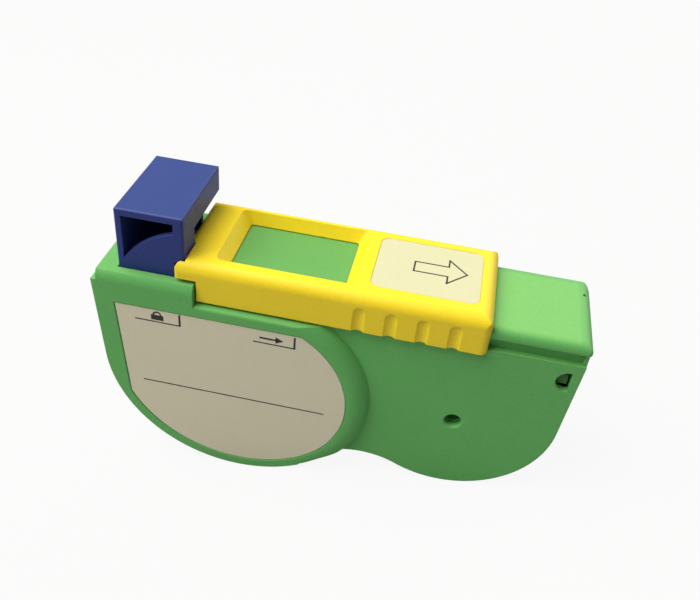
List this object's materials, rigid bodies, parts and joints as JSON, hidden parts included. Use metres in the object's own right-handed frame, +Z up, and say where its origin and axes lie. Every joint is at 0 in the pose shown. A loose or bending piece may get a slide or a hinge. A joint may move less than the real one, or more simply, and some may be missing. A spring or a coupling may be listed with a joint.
{
  "type": "fibre optic cleaning cassette",
  "caption": "Reel cassette for wiping fibre connectors: two-lobed case, sliding cover over a wiping slot, push button that winds cleaning tape between two reels.",
  "frame": {"origin": "middle of the footprint, at the level of the left lobe's bottom", "axes": "+X along the rail, from the button end to the supply end; -Y out of the front wall; +Z up, square to the rail"},
  "size_m": [0.12, 0.0332, 0.0756],
  "materials": {
    "case_body": "fine matt",
    "rear_cover": "fine matt",
    "cover_screws": "satin",
    "side_label": "fine matt",
    "slider_cover": "fine matt",
    "slider_label": "fine matt",
    "feed_button": "fine matt",
    "feed_rack": "fine matt",
    "button_spring": "satin",
    "drive_gear": "fine matt",
    "clutch_pinion": "fine matt",
    "drive_axle": "satin",
    "take_up_spool": "fine matt",
    "take_up_gear": "fine matt",
    "used_tape_roll": "fine matt",
    "anti_reverse_pawl": "fine matt",
    "supply_spool": "fine matt",
    "supply_flange": "fine matt",
    "new_tape_roll": "fine matt",
    "supply_brake": "fine matt",
    "left_guide_roller": "fine matt",
    "right_guide_roller": "fine matt",
    "guide_pins": "satin",
    "pad_holder": "fine matt",
    "wiping_pad": "fine matt",
    "tape_run": "fine matt"
  },
  "bodies": {
    "case": {"case_body": "case_body", "rear_cover": "rear_cover", "cover_screws": "cover_screws", "side_label": "side_label", "button_spring": "button_spring", "drive_axle": "drive_axle", "anti_reverse_pawl": "anti_reverse_pawl", "supply_brake": "supply_brake", "guide_pins": "guide_pins", "pad_holder": "pad_holder", "wiping_pad": "wiping_pad", "tape_run": "tape_run"},
    "slider": {"slider_cover": "slider_cover", "slider_label": "slider_label"},
    "button": {"feed_button": "feed_button", "feed_rack": "feed_rack"},
    "drive": {"drive_gear": "drive_gear", "clutch_pinion": "clutch_pinion"},
    "take_up": {"take_up_spool": "take_up_spool", "take_up_gear": "take_up_gear", "used_tape_roll": "used_tape_roll"},
    "supply": {"supply_spool": "supply_spool", "supply_flange": "supply_flange", "new_tape_roll": "new_tape_roll"},
    "left_roller": {"left_guide_roller": "left_guide_roller"},
    "right_roller": {"right_guide_roller": "right_guide_roller"}
  },
  "joints": [
    {"name": "slider_slide", "type": "slide", "parent": "case", "child": "slider", "axis": [1, 0, 0], "range_m": [0, 0.029]},
    {"name": "button_press", "type": "slide", "parent": "case", "child": "button", "axis": [0, 0, -1], "range_m": [0, 0.004], "stiffness_N_per_m": 300, "springref_m": -0.002, "deforming": ["button_spring"]},
    {"name": "drive_spin", "type": "hinge", "parent": "case", "child": "drive", "pos_m": [-0.04616, 0, 0.035], "axis": [0, 1, 0], "range_deg": [-57.9, 0]},
    {"name": "take_up_spin", "type": "hinge", "parent": "case", "child": "take_up", "pos_m": [-0.01972, 0, 0.02859], "axis": [0, 1, 0], "range_deg": [0, 24.47]},
    {"name": "supply_spin", "type": "hinge", "parent": "case", "child": "supply", "pos_m": [0.03233, 0, 0.0294], "axis": [0, 1, 0], "range_deg": [-14.64, 0]},
    {"name": "left_roller_spin", "type": "hinge", "parent": "case", "child": "left_roller", "pos_m": [-0.0035, 0, 0.0508], "axis": [0, 1, 0], "range_deg": [-80.18, 0]},
    {"name": "right_roller_spin", "type": "hinge", "parent": "case", "child": "right_roller", "pos_m": [0.035, 0, 0.0508], "axis": [0, 1, 0], "range_deg": [-80.18, 0]}
  ],
  "couplings": [
    {"joint": "drive_spin", "follows": "button_press", "rad_per_m": -250},
    {"joint": "take_up_spin", "follows": "button_press", "rad_per_m": 104.17},
    {"joint": "supply_spin", "follows": "button_press", "rad_per_m": -61.275},
    {"joint": "left_roller_spin", "follows": "button_press", "rad_per_m": -347.22},
    {"joint": "right_roller_spin", "follows": "button_press", "rad_per_m": -347.22}
  ]
}
